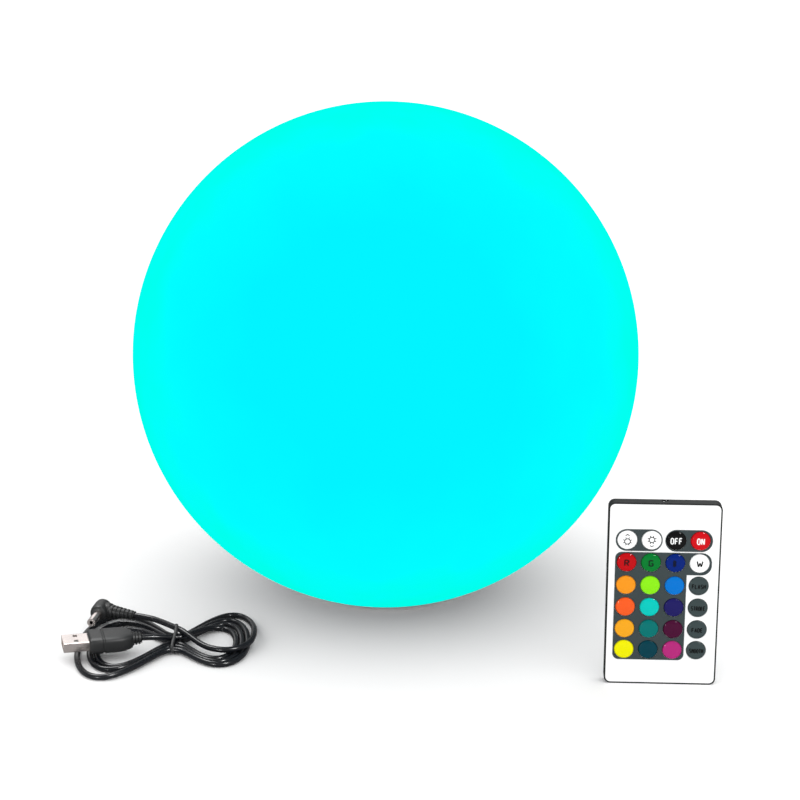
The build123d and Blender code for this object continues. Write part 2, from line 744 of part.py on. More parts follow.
def make_dc_barrel():
    start = DC_HEAD_FRONT
    barrel = extrude(Circle(DC_BARREL_R) - Circle(DC_BARREL_R_IN), amount=DC_BARREL_LENGTH)
    return dc_frame() * (Pos(0, 0, start) * barrel)


# ---- Remote ------------------------------------------------------------------------------------

def in_place(shape):
    """Stand a piece of the remote, made in the remote's own axes, where the remote stands."""
    x, y = REMOTE_FRONT_EDGE
    return Pos(x, y, 0) * Rot(0, 0, REMOTE_YAW) * Pos(0, -FRONT, 0) * shape


def upright_plate(x, z, front, back, corner):
    """Plate with rounded corners: x and z are (low, high) pairs, front and back its Y faces."""
    outline = RectangleRounded(x[1] - x[0], z[1] - z[0], corner)
    plane = Plane(origin=((x[0] + x[1]) / 2, front, (z[0] + z[1]) / 2), x_dir=(1, 0, 0), z_dir=(0, 1, 0))
    return extrude(plane * outline, amount=back - front)


def key_places():
    return [(x, z) for z in KEY_ROWS for x in KEY_COLUMNS]


def face_holes(radius, front, back):
    """Rods through the front at every key."""
    holes = []
    for x, z in key_places():
        plane = Plane(origin=(x, front, z), x_dir=(1, 0, 0), z_dir=(0, 1, 0))
        holes.append(extrude(plane * Circle(radius), amount=back - front))
    return holes


def inset(gap):
    """Across and up ranges of the remote's outline drawn in by a gap."""
    return (-REMOTE_W / 2 + gap, REMOTE_W / 2 - gap), (gap, REMOTE_H - gap)


def make_remote_back():
    case = upright_plate(*inset(0), FRONT, BACK, REMOTE_CORNER)
    back_edges = case.faces().sort_by(Axis.Y)[-1].edges()
    case = fillet(back_edges, CASE_BACK_EDGE)
    case -= upright_plate(*inset(RIM), FRONT - PAST, PLATE_BACK, REMOTE_CORNER - RIM)
    inner_back = BACK - CASE_BACK_WALL
    case -= upright_plate(*inset(CASE_WALL), PLATE_BACK - OVERLAP, inner_back, CASE_INNER_CORNER)
    slot = TRAY_W / 2 + TRAY_GAP
    case -= block((-slot, slot), (TRAY_FRONT - TRAY_FACE_GAP, inner_back), (-PAST, CASE_WALL + PAST))
    case -= Pos(0, IR_LED_Y, REMOTE_H) * Cylinder(IR_LED_R + IR_LED_GAP, 2 * CASE_WALL + PAST)
    for x in (-POST_X, POST_X):
        for z in POST_Z:
            post = Plane(origin=(x, BOARD_BACK, z), z_dir=(0, 1, 0)) * Circle(POST_R)
            case += extrude(post, amount=inner_back - BOARD_BACK + OVERLAP)
    return in_place(case)


def make_remote_front():
    gap = RIM + PLATE_GAP
    plate = upright_plate(*inset(gap), FRONT, PLATE_BACK, REMOTE_CORNER - gap)
    for hole in face_holes(KEY_HOLE_R, FRONT - PAST, PLATE_BACK + PAST):
        plate -= hole
    return in_place(plate)


def make_key_panels():
    front = FRONT - PANEL_THICK
    left = upright_plate(LEFT_PILL_X, PILL_Z, front, FRONT, PILL_CORNER)
    right = upright_plate(RIGHT_PILL_X, PILL_Z, front, FRONT, PILL_CORNER)
    wide = upright_plate(COLOUR_PANEL_X, COLOUR_PANEL_TOP, front, FRONT, COLOUR_PANEL_CORNER)
    stem_z = (COLOUR_PANEL_FOOT, COLOUR_PANEL_TOP[1])
    stem = upright_plate(COLOUR_PANEL_STEM_X, stem_z, front, FRONT, COLOUR_PANEL_STEM_CORNER)
    panels = [left, right, wide + stem]
    holes = face_holes(KEY_HOLE_R, front - PAST, FRONT + PAST)
    cut = []
    for panel in panels:
        for hole in holes:
            panel = panel - hole
        cut.append(panel)
    return in_place(merge(cut))


def make_key():
    """One key about its own axis, +Z outwards, heights counted from the remote's mid-plane."""
    cap = turned(
        Line((0, KEY_FLANGE[0]), (KEY_FLANGE_R, KEY_FLANGE[0])),
        Line((KEY_FLANGE_R, KEY_FLANGE[0]), (KEY_FLANGE_R, KEY_FLANGE[1])),
        Line((KEY_FLANGE_R, KEY_FLANGE[1]), (KEY_R, KEY_FLANGE[1])),
        Line((KEY_R, KEY_FLANGE[1]), (KEY_R, KEY_RIM)),
        crown_arc(KEY_R, KEY_RIM, KEY_CROWN),
        Line((0, KEY_CROWN), (0, KEY_FLANGE[0])),
    )
    return cap + rod(KEY_STEM_R, KEY_STEM_END, KEY_FLANGE[0] + OVERLAP)


def place_key(key, x, z):
    return in_place(Plane(origin=(x, 0, z), x_dir=(1, 0, 0), z_dir=(0, -1, 0)) * key)


def make_remote_board():
    outline = inset(CASE_WALL + BOARD_EDGE_GAP)
    return in_place(upright_plate(*outline, BOARD_FRONT, BOARD_BACK, BOARD_CORNER))


def make_snap_domes():
    domes = []
    for x, z in key_places():
        plane = Plane(origin=(x, BOARD_FRONT, z), x_dir=(1, 0, 0), z_dir=(0, -1, 0))
        domes.append(extrude(plane * Circle(SNAP_R), amount=SNAP_THICK))
    return in_place(merge(domes))


def make_ir_led():
    lens_centre = REMOTE_H - IR_LED_BELOW_TOP - IR_LED_R
    led = rod(IR_LED_R, IR_LED_BASE, lens_centre)
    led += Pos(0, 0, lens_centre) * Sphere(IR_LED_R)
    led += rod(IR_LED_R + 0.1, IR_LED_BASE, IR_LED_BASE + 0.8)
    return in_place(Pos(0, IR_LED_Y, 0) * led)


def make_battery_tray():
    half = TRAY_W / 2
    tray = block((-half, half), (TRAY_FRONT, TRAY_BACK), (TRAY_GAP, TRAY_H))
    well_plane = Plane(origin=(0, TRAY_FRONT - PAST, COIN_Z), z_dir=(0, 1, 0))
    coin_well = well_plane * Circle(COIN_R + COIN_GAP)
    tray -= extrude(coin_well, amount=TRAY_BACK - TRAY_FLOOR - TRAY_FRONT + PAST)
    grip_half, grip_depth, grip_top = TRAY_GRIP
    grip = block((-grip_half, grip_half), (TRAY_BACK - grip_depth, TRAY_BACK + PAST), (0, grip_top))
    return in_place(tray - grip)


def make_coin_cell():
    back = TRAY_BACK - TRAY_FLOOR - TRAY_FACE_GAP
    plane = Plane(origin=(0, back, COIN_Z), x_dir=(1, 0, 0), z_dir=(0, -1, 0))
    can = extrude(plane * Circle(COIN_R), amount=COIN_CAN_THICK)
    cap = extrude(plane * Circle(COIN_R - COIN_STEP), amount=COIN_THICK)
    return in_place(can + cap)


# ---- Every node --------------------------------------------------------------------------------

PIECES = {
    "ball_shell": make_ball_shell,
    "base_cap": make_base_cap,
    "seal_ring": make_seal_ring,
    "ballast_ring": make_ballast_ring,
    "power_button": make_power_button,
    "power_switch": make_power_switch,
    "dc_jack": make_dc_jack,
    "port_cover": make_port_cover,
    "indicator_lens": make_indicator_lens,
    "control_board": make_control_board,
    "case_screws": make_case_screws,
    "core_tube": make_core_tube,
    "battery_cells": make_battery_cells,
    "led_board": make_led_board,
    "led_chips": make_led_chips,
    "ir_receiver": make_ir_receiver,
    "dome_seal": make_dome_seal,
    "lens_dome": make_lens_dome,
    "wire_loom": make_wire_loom,
    "usb_shell": make_usb_shell,
    "usb_tongue": make_usb_tongue,
    "usb_overmould": make_usb_overmould,
    "usb_lead": make_usb_lead,
    "lead_hank": make_lead_hank,
    "dc_lead": make_dc_lead,
    "cable_tie": make_cable_tie,
    "dc_plug_body": make_dc_plug_body,
    "dc_barrel": make_dc_barrel,
    "remote_back": make_remote_back,
    "remote_front": make_remote_front,
    "key_panels": make_key_panels,
    "remote_board": make_remote_board,
    "snap_domes": make_snap_domes,
    "ir_led": make_ir_led,
    "battery_tray": make_battery_tray,
    "coin_cell": make_coin_cell,
}


def main():
    os.makedirs("parts", exist_ok=True)
    for name, make in PIECES.items():
        export_step(make(), os.path.join("parts", name + ".step"))
    key = make_key()
    for names, z in zip(KEY_NAMES, KEY_ROWS):
        for name, x in zip(names, KEY_COLUMNS):
            export_step(place_key(key, x, z), os.path.join("parts", name + ".step"))


main()
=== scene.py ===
import json
import math

import bpy
from mathutils import Matrix, Vector


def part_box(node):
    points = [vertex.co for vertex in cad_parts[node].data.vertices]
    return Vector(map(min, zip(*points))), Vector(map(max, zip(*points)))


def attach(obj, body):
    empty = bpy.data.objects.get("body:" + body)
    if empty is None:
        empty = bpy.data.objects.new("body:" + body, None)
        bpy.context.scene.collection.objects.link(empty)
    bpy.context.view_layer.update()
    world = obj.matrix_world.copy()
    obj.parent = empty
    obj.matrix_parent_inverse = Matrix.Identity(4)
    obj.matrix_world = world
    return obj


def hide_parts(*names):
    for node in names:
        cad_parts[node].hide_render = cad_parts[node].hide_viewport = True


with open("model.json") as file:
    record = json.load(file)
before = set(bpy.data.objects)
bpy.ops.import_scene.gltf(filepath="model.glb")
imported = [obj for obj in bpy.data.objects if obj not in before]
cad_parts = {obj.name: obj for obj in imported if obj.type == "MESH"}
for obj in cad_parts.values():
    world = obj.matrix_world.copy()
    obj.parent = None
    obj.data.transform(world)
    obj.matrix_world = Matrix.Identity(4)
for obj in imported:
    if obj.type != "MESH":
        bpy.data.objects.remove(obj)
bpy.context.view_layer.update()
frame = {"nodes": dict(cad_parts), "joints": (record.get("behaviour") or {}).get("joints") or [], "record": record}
NODES = frame["nodes"]

# ---- Sizes, in metres --------------------------------------------------------------------------
BALL_R = 0.125
BALL_CENTRE = Vector((0.0, 0.0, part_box("ball_shell")[1][2] - BALL_R))
SHELL_WALL = 0.003
LIP_R = 0.0463
NECK_R_IN = 0.0415
NECK_R = 0.045
NECK_BOTTOM = 0.005
NECK_TOP = 0.026
NECK_EDGE = 0.0005
THREAD_PITCH = 0.004
THREAD_TURNS = 2.5
THREAD_CREST_R = 0.040
THREAD_START = 0.010
THREAD_FADE = 0.12    # turns over which the rib rises at either end

CORD_D = 0.0028
LYING = CORD_D / 2 + 0.0001    # height of the cord's middle where it lies on the table

USB_SHELL_LENGTH = 0.0118
DC_BARREL_HALF = 0.0052
DC_BARREL_AIM = Vector((-0.15, -0.99, 0.0)).normalized()
DC_BOOT_SETBACK = 0.0066    # from the head's front to the middle of the boot

# Route of the charging lead. The ends are listed point by point; the tied turns come from a loop.
USB_END = [
    (-0.1137, -0.0964, 0.0080),
    (-0.1075, -0.0948, 0.0078),
    (-0.0995, -0.0895, 0.0051),
]
DC_END = [
    (-0.1204, -0.0685, 0.0078),
    (-0.1131, -0.0707, 0.0076),
    (-0.1068, -0.0762, 0.0078),
    (-0.0995, -0.0836, 0.0079),
]
TIE_X = -0.0989
GATE_RIGHT = -0.0955
GATE_LEFT = -0.1025
# Innermost first: how far the turn reaches, and how far it swings to the back and to the front.
RIGHT_TURNS = [
    (-0.0702, -0.0692, -0.1070),
    (-0.0674, -0.0632, -0.1110),
    (-0.0647, -0.0572, -0.1150),
    (-0.0620, -0.0513, -0.1035),
]
LEFT_TURNS = [
    (-0.1354, -0.0700, -0.1166),
    (-0.1388, -0.0608, -0.1206),
    (-0.1443, -0.0505, -0.1304),
]
# Where each pass goes through the tie, as (y, z): towards the right, then towards the left.
BACK_SLOTS = [(-0.0886, 0.0051), (-0.0876, 0.0024), (-0.0844, 0.0024), (-0.0812, 0.0024)]
FRONT_SLOTS = [(-0.0910, 0.0024), (-0.0942, 0.0024), (-0.0974, 0.0024), (-0.0876, 0.0079)]
LOBE_POINTS = 15
SWING_EASE = 1.4    # above 1, a turn stays with its neighbours longer beside the tie
REACH_EASE = 1.25
LIFT_SHARE = 0.3    # part of a turn over which it comes down from the tie, or goes up to it
TOP_TURN_LIFT_SHARE = 0.14
RIDE_START, RIDE_SHARE = 0.36, 0.12

TIE_HALF_WIDTH, TIE_HALF_THICKNESS = 0.0008, 0.0004
TIE_LEAN = 0.0005

# The remote's own axes: x across its face, y up it, z out of its face, from its middle plane.
REMOTE_LOW, REMOTE_HIGH = [Vector(corner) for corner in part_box("remote_back")]
PRESS = Vector(next(j["axis"] for j in frame["joints"] if j["name"] == "key_on_press"))
OUT = -PRESS.normalized()
ACROSS = Vector((-OUT.y, OUT.x, 0.0))
REMOTE_MIDDLE = Vector(((REMOTE_LOW.x + REMOTE_HIGH.x) / 2, (REMOTE_LOW.y + REMOTE_HIGH.y) / 2, 0.0))
REMOTE_PLACE = Matrix.Translation(REMOTE_MIDDLE) @ Matrix(
    ((ACROSS.x, 0.0, OUT.x, 0.0), (ACROSS.y, 0.0, OUT.y, 0.0), (0.0, 1.0, 0.0, 0.0), (0.0, 0.0, 0.0, 1.0))
)

KEY_R = 0.0043
KEY_FLANGE_R = 0.0048
KEY_FLANGE = (0.0019, 0.0023)
KEY_RIM = 0.0037
KEY_RIM_R = 0.0006
KEY_CROWN = 0.00435
KEY_CROWN_BEND = (KEY_R ** 2 + (KEY_CROWN - KEY_RIM) ** 2) / (2 * (KEY_CROWN - KEY_RIM))
PRINT_PROUD, PRINT_BURIED = 0.00004, 0.00008
LONGEST_BAR = 0.0007    # a longer straight stroke would sink below the crown

CAMERA_LENS = 90.4
CAMERA_PLACE = (0.007, -0.9674, BALL_CENTRE.z + 0.2541)
CAMERA_TILT = math.radians(74.0)


# ---- Camera ------------------------------------------------------------------------------------

def add_camera():
    data = bpy.data.cameras.new("studio_camera")
    data.lens = CAMERA_LENS
    data.sensor_width = 36.0
    data.clip_start = 0.01
    camera = bpy.data.objects.new("studio_camera", data)
    camera.location = CAMERA_PLACE
    camera.rotation_euler = (CAMERA_TILT, 0.0, 0.0)
    bpy.context.scene.collection.objects.link(camera)
    bpy.context.scene.camera = camera


# ---- Mesh tools --------------------------------------------------------------------------------

def piece(name, points, faces, finish, body, slot, crease=35.0):
    """A smooth-shaded piece that rides on a body, with its edges sharper than crease kept crisp."""
    mesh = bpy.data.meshes.new(name)
    mesh.from_pydata([tuple(p) for p in points], [], faces)
    mesh.validate()
    mesh.materials.append(finish)
    mesh.shade_smooth()
    mesh.set_sharp_from_angle(angle=math.radians(crease))
    made = bpy.data.objects.new(name, mesh)
    bpy.context.scene.collection.objects.link(made)
    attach(made, body)
    return made


def arc(centre, radius, start, end, count):
    """Points of an arc in (across, up), angles in degrees, both ends included."""
    angles = [math.radians(start + (end - start) * k / (count - 1)) for k in range(count)]
    return [(centre[0] + radius * math.cos(a), centre[1] + radius * math.sin(a)) for a in angles]


def lathe(outline, count, place=Matrix.Identity(4), closed=True):
    """Turns an outline of (radius, height) about place's Z axis. Points on the axis become poles."""
    points, rings = [], []
    for radius, height in outline:
        if radius < 1e-7:
            rings.append([len(points)] * count)
            points.append(place @ Vector((0.0, 0.0, height)))
        else:
            rings.append(list(range(len(points), len(points) + count)))
            for k in range(count):
                a = 2 * math.pi * k / count
                points.append(place @ Vector((radius * math.cos(a), radius * math.sin(a), height)))
    faces = []
    pairs = list(zip(rings, rings[1:])) + ([(rings[-1], rings[0])] if closed else [])
    for low, high in pairs:
        for k in range(count):
            n = (k + 1) % count
            corners = [low[k], low[n], high[n], high[k]]
            face = [c for i, c in enumerate(corners) if c not in corners[:i]]
            if len(face) > 2:
                faces.append(face)
    return points, faces


def loft(rings):
    """Skins rings of equal count and closes both ends."""
    count = len(rings[0])
    points = [p for ring in rings for p in ring]
    faces = [list(reversed(range(count)))]
    for r in range(len(rings) - 1):
        for k in range(count):
            n = (k + 1) % count
            faces.append([r * count + k, r * count + n, (r + 1) * count + n, (r + 1) * count + k])
    faces.append([(len(rings) - 1) * count + k for k in range(count)])
    return points, faces


def joined(*parts):
    """One list of points and one of faces from several."""
    points, faces = [], []
    for more_points, more_faces in parts:
        faces += [[i + len(points) for i in face] for face in more_faces]
        points += more_points
    return points, faces


def oblong(half_width, half_height, square, count=40):
    """Ring from an ellipse, square 2, towards a box, square 8, in (across, up)."""
    ring = []
    for k in range(count):
        a = 2 * math.pi * k / count
        c, s = math.cos(a), math.sin(a)
        across = half_width * math.copysign(abs(c) ** (2 / square), c)
        ring.append((across, half_height * math.copysign(abs(s) ** (2 / square), s)))
    return ring


def lofted_along(place, rows, square=2.0, count=40):
    """Loft of oblong sections along place's Z axis; each row is (distance, half width, half height)."""
    rings = []
    for distance, half_width, half_height in rows:
        ring = oblong(half_width, half_height, square, count)
        rings.append([place @ Vector((across, up, distance)) for across, up in ring])
    return loft(rings)


def pointing(origin, along, up=Vector((0.0, 0.0, 1.0))):
    """Placement with its Z axis along a direction and its Y axis as near to up as it can be."""
    z = Vector(along).normalized()
    x = Vector(up).cross(z).normalized()
    y = z.cross(x)
    o = Vector(origin)
    return Matrix(((x.x, y.x, z.x, o.x), (x.y, y.y, z.y, o.y), (x.z, y.z, z.z, o.z), (0, 0, 0, 1)))


def smooth_step(t):
    t = max(0.0, min(1.0, t))
    return t * t * (3 - 2 * t)


# ---- Charging lead: the cord -------------------------------------------------------------------

def turn(gate, reach, start, end, swing_out, swing_back, lift_share=LIFT_SHARE, ride=0.0):
    """Points of one turn on one side of the tie, from the gate out to its reach and back.

    A turn that rides lies that much higher on its way back, across the turns under it.
    """
    points = []
    for k in range(1, LOBE_POINTS):
        t = k / LOBE_POINTS
        swing = abs(math.sin(2 * math.pi * t))
        if min(t, 1 - t) < 0.25:
            swing **= SWING_EASE
        edge, slot = (swing_out, start) if t < 0.5 else (swing_back, end)
        x = gate + (reach - gate) * math.sin(math.pi * t) ** REACH_EASE
        y = start[0] + (end[0] - start[0]) * smooth_step(t) + (edge - slot[0]) * swing
        lift_out = (start[1] - LYING) * (1 - smooth_step(t / LIFT_SHARE))
        riding = ride * smooth_step((t - RIDE_START) / RIDE_SHARE)
        lift_back = (end[1] - LYING - ride) * (1 - smooth_step((1 - t) / lift_share))
        points.append((x, y, LYING + lift_out + riding + lift_back))
    return points


def lead_route():
    """Control points of the whole cord, from the A-type plug to the right-angle plug."""
    route = list(USB_END)
    for i, (reach, back, front) in enumerate(RIGHT_TURNS):
        start, end = BACK_SLOTS[i], FRONT_SLOTS[i]
        last = i == len(RIGHT_TURNS) - 1
        if i > 0:
            route.append((GATE_LEFT, *start))
        route.append((GATE_RIGHT, *start))
        lift_share, ride = (TOP_TURN_LIFT_SHARE, CORD_D) if last else (LIFT_SHARE, 0.0)
        route += turn(GATE_RIGHT, reach, start, end, back, front, lift_share, ride)
        route.append((GATE_RIGHT, *end))
        if not last:
            route.append((GATE_LEFT, *end))
            reach, back, front = LEFT_TURNS[i]
            route += turn(GATE_LEFT, reach, end, BACK_SLOTS[i + 1], front, back)
    return route + list(reversed(DC_END))


def add_lead(finish):
    curve = bpy.data.curves.new("charging_cord", "CURVE")
    curve.dimensions = "3D"
    curve.resolution_u = 6
    curve.bevel_depth = CORD_D / 2
    curve.bevel_resolution = 5
    curve.use_fill_caps = True
    spline = curve.splines.new("NURBS")
    route = lead_route()
    spline.points.add(len(route) - 1)
    for point, place in zip(spline.points, route):
        point.co = (*place, 1.0)
    spline.order_u = 3
    spline.use_endpoint_u = True
    curve.materials.append(finish)
    cord = bpy.data.objects.new("charging_cord", curve)
    bpy.context.scene.collection.objects.link(cord)
    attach(cord, "cable")
    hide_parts("usb_lead", "lead_hank", "dc_lead")
    return cord


def add_tie(finish):
    """Band round the bundle: a closed path in the plane across the cords, its corners cut three times."""
    hull = [
        (-0.0994, 0.0020), (-0.0970, 0.0006), (-0.0885, 0.0006), (-0.0810, 0.0006), (-0.0794, 0.0024),
        (-0.0806, 0.0052), (-0.0832, 0.0092), (-0.0853, 0.0100), (-0.0880, 0.0082), (-0.0925, 0.0059),
        (-0.0972, 0.0043),
    ]
    for _ in range(3):
        cut = []
        for a, b in zip(hull, hull[1:] + hull[:1]):
            cut.append((a[0] * 0.75 + b[0] * 0.25, a[1] * 0.75 + b[1] * 0.25))
            cut.append((a[0] * 0.25 + b[0] * 0.75, a[1] * 0.25 + b[1] * 0.75))
        hull = cut
    band = oblong(TIE_HALF_WIDTH, TIE_HALF_THICKNESS, 2.4, 16)
    rings = []
    for i, (y, z) in enumerate(hull):
        ahead, behind = hull[(i + 1) % len(hull)], hull[i - 1]
        along = Vector((0.0, ahead[0] - behind[0], ahead[1] - behind[1])).normalized()
        outwards = along.cross(Vector((1.0, 0.0, 0.0)))
        lean = TIE_LEAN * math.sin(4 * math.pi * i / len(hull))
        centre = Vector((TIE_X + lean, y, z))
        rings.append([centre + Vector((1.0, 0.0, 0.0)) * x + outwards * t for x, t in band])
    count = len(band)
    points = [p for ring in rings for p in ring]
    faces = []
    for r in range(len(rings)):
        following = (r + 1) % len(rings)
        for k in range(count):
            n = (k + 1) % count
            faces.append([r * count + k, following * count + k, following * count + n, r * count + n])
    tie = piece("lead_tie", points, faces, finish, "cable", "tie_plastic")
    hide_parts("cable_tie")
    return tie


# ---- Charging lead: plugs ----------------------------------------------------------------------

def ribbed(start, end, from_r, to_r, ribs, groove):
    """Rows for a tapered relief with moulded ribs, as (distance, half width, half height)."""
    rows = []
    profile = [(0.0, 0.0), (0.52, 0.0), (0.6, groove), (0.92, groove)]
    for k in range(ribs):
        for share, depth in profile:
            t = (k + share) / ribs
            radius = from_r + (to_r - from_r) * t - depth
            rows.append((start + (end - start) * t, radius, radius))
    rows.append((end, to_r, to_r))
    return rows


def add_usb_grip(finish):
    """Moulded grip: chamfered block, waist, then a short ribbed relief round the cord."""
    end = Vector(USB_END[0])
    shell_low, shell_high = [Vector(corner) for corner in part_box("usb_shell")]
    shell_middle = (shell_low + shell_high) / 2
    length = (end - shell_middle).length - USB_SHELL_LENGTH / 2
    place = pointing(end, end - shell_middle) @ Matrix.Translation((0, 0, -length))
    block = [
        (0.0, 0.0071, 0.0031), (0.0005, 0.0078, 0.0037), (0.0012, 0.0080, 0.0040),
        (0.0060, 0.0080, 0.0040), (0.0064, 0.0077, 0.0037), (0.0069, 0.0077, 0.0037),
        (0.0073, 0.0080, 0.0040), (0.0135, 0.0080, 0.0040), (0.0162, 0.0073, 0.0039),
        (0.0188, 0.0058, 0.0036), (0.0201, 0.0047, 0.0033), (0.0204, 0.0040, 0.0029),
    ]
    relief = [(0.0200, 0.0030, 0.0027)] + ribbed(0.0204, length, 0.0034, 0.0027, 3, 0.0007)
    body = lofted_along(place, block, square=4.5, count=56)
    grip = joined(body, lofted_along(place, relief, count=32))
    made = piece("usb_grip", *grip, finish, "cable", "black_plastic", crease=28.0)
    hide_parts("usb_overmould")
    return made


def add_dc_grip(finish):
    """Right-angle plug: a round head in line with the barrel and a ribbed boot to the side."""
    barrel_low, barrel_high = [Vector(corner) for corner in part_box("dc_barrel")]
    barrel = (barrel_low + barrel_high) / 2
    head_front = barrel - DC_BARREL_AIM * DC_BARREL_HALF
    place = pointing(head_front, -DC_BARREL_AIM)
    head_rows = [
        (0.0, 0.0027), (0.0002, 0.0032), (0.0006, 0.0037), (0.0014, 0.0040), (0.0026, 0.0042),
        (0.0084, 0.0043), (0.0098, 0.0042), (0.0108, 0.0037), (0.0114, 0.0028), (0.0116, 0.0014),
    ]
    head = lofted_along(place, [(d, r, r) for d, r in head_rows], count=48)
    centre = head_front - DC_BARREL_AIM * DC_BOOT_SETBACK
    end = Vector(DC_END[0])
    boot_place = pointing(centre, end - centre)
    reach = (end - centre).length
    shoulder = [(0.0, 0.0037, 0.0038), (0.0042, 0.0037, 0.0037), (0.0050, 0.0035, 0.0035)]
    boot_rows = shoulder + ribbed(0.0054, reach, 0.0032, 0.0020, 6, 0.0005)
    boot = lofted_along(boot_place, boot_rows, square=2.3, count=40)
    made = piece("dc_grip", *joined(head, boot), finish, "cable", "black_plastic", crease=28.0)
    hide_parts("dc_plug_body")
    return made


# ---- Ball --------------------------------------------------------------------------------------

def helical_rib():
    """Thread rib inside the neck, running out to nothing at both ends."""
    steps_per_turn = 72
    steps = int(steps_per_turn * THREAD_TURNS)
    rings = []
    for k in range(steps + 1):
        t = k / steps
        fade = min(1.0, t * THREAD_TURNS / THREAD_FADE, (1 - t) * THREAD_TURNS / THREAD_FADE)
        a = 2 * math.pi * THREAD_TURNS * t
        crest = NECK_R_IN - (NECK_R_IN - THREAD_CREST_R) * max(fade, 0.05)
        height = THREAD_START + THREAD_PITCH * THREAD_TURNS * t
        section = [
            (NECK_R_IN + 0.0003, -0.0008), (NECK_R_IN + 0.0003, 0.0008), (NECK_R_IN, 0.00078),
            (crest + 0.0002, 0.0005), (crest, 0.0003), (crest, -0.0003), (crest + 0.0002, -0.0005),
            (NECK_R_IN, -0.00078),
        ]
        rings.append([Vector((r * math.cos(a), r * math.sin(a), height + z)) for r, z in section])
    return loft(rings)


def add_ball_shell(finish):
    """Hollow ball in one turned outline, from its lip over the top, back inside and down the neck."""
    centre = (0.0, BALL_CENTRE.z)
    inner = BALL_R - SHELL_WALL
    lip_angle = -math.degrees(math.acos(LIP_R / BALL_R))
    neck_angle = -math.degrees(math.acos(NECK_R / inner))
    lip_z = BALL_CENTRE.z - math.sqrt(BALL_R ** 2 - LIP_R ** 2)
    outline = [(LIP_R, NECK_BOTTOM), (LIP_R, lip_z + 0.0006), (LIP_R + 0.00015, lip_z + 0.0002)]
    outline += arc(centre, BALL_R, lip_angle + 0.4, 90.0, 110)[:-1]
    outline += [(0.0, BALL_CENTRE.z + BALL_R), (0.0, BALL_CENTRE.z + inner)]
    outline += arc(centre, inner, 90.0, neck_angle, 64)[1:]
    outline += [(NECK_R, NECK_TOP - NECK_EDGE), (NECK_R - NECK_EDGE, NECK_TOP)]
    outline += [(NECK_R_IN + NECK_EDGE, NECK_TOP), (NECK_R_IN, NECK_TOP - NECK_EDGE)]
    outline += [(NECK_R_IN, NECK_BOTTOM + NECK_EDGE), (NECK_R_IN + NECK_EDGE, NECK_BOTTOM)]
    shell = joined(lathe(outline, 192), helical_rib())
    made = piece("glowing_shell", *shell, finish, "shell", "glowing_shell")
    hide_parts("ball_shell")
    return made


# ---- Remote ------------------------------------------------------------------------------------

def key_place(node):
    """Placement on a key's own axis: x across the remote, y up it, z out of it."""
    low, high = [Vector(corner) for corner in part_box(node)]
    middle = (low + high) / 2
    across = (middle - REMOTE_MIDDLE).dot(ACROSS)
    return REMOTE_PLACE @ Matrix.Translation((across, middle.z, 0.0))


def add_key_cap(node, finish):
    """Domed cap: flange behind the face, straight side, rounded rim and a low crown."""
    flat_r = KEY_R - KEY_RIM_R
    rim_z = KEY_RIM - KEY_RIM_R
    crown_z = KEY_CROWN - KEY_CROWN_BEND
    edge_angle = math.degrees(math.acos(flat_r / KEY_CROWN_BEND))
    outline = [(0.0, KEY_FLANGE[0]), (KEY_FLANGE_R, KEY_FLANGE[0]), (KEY_FLANGE_R, KEY_FLANGE[1])]
    outline += [(KEY_R, KEY_FLANGE[1]), (KEY_R, rim_z)]
    edge = crown_z + math.sqrt(KEY_CROWN_BEND ** 2 - flat_r ** 2)
    for k in range(1, 5):
        a = math.radians(90 * k / 5)
        outline.append((flat_r + KEY_RIM_R * math.cos(a), rim_z + (edge - rim_z) * math.sin(a)))
    outline += arc((0.0, crown_z), KEY_CROWN_BEND, edge_angle, 90.0, 12)[:-1] + [(0.0, KEY_CROWN)]
    points, faces = lathe(outline, 56, key_place(node), closed=True)
    cap = piece("cap_" + node[4:], points, faces, finish, node, node + "_gloss", crease=50.0)
    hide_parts(node)
    return cap


def crown_height(x, y):
    """How far a key's crown stands out, at a place on the key."""
    return KEY_CROWN - KEY_CROWN_BEND + math.sqrt(KEY_CROWN_BEND ** 2 - x * x - y * y)


def add_legend(node, flats, finish, slot):
    """Raised print that follows a key's crown, from flat convex outlines on the key."""
    place = key_place(node)
    points, faces = [], []
    for flat in flats:
        base = len(points)
        count = len(flat)
        for depth in (-PRINT_BURIED, PRINT_PROUD):
            points += [place @ Vector((x, y, crown_height(x, y) + depth)) for x, y in flat]
        faces.append([base + k for k in reversed(range(count))])
        faces.append([base + count + k for k in range(count)])
        for k in range(count):
            n = (k + 1) % count
            faces.append([base + k, base + n, base + count + n, base + count + k])
    return piece("print_" + node[4:], points, faces, finish, node, slot)


def bar(x0, y0, x1, y1, width):
    """Flat straight stroke as quads short enough to follow a crown."""
    a, b = Vector((x0, y0)), Vector((x1, y1))
    side = (b - a).normalized().orthogonal() * width / 2
    steps = max(1, math.ceil((b - a).length / LONGEST_BAR))
    quads = []
    for k in range(steps):
        low, high = a.lerp(b, k / steps), a.lerp(b, (k + 1) / steps)
        quads.append([tuple(low + side), tuple(low - side), tuple(high - side), tuple(high + side)])
    return quads


def bow(centre_x, centre_y, radius, start, end, width, steps):
    """Flat curved stroke as short quads, angles in degrees."""
    quads = []
    for k in range(steps):
        a = math.radians(start + (end - start) * k / steps)
        b = math.radians(start + (end - start) * (k + 1) / steps)
        inner, outer = radius - width / 2, radius + width / 2
        quads.append([
            (centre_x + inner * math.cos(a), centre_y + inner * math.sin(a)),
            (centre_x + outer * math.cos(a), centre_y + outer * math.sin(a)),
            (centre_x + outer * math.cos(b), centre_y + outer * math.sin(b)),
            (centre_x + inner * math.cos(b), centre_y + inner * math.sin(b)),
        ])
    return quads


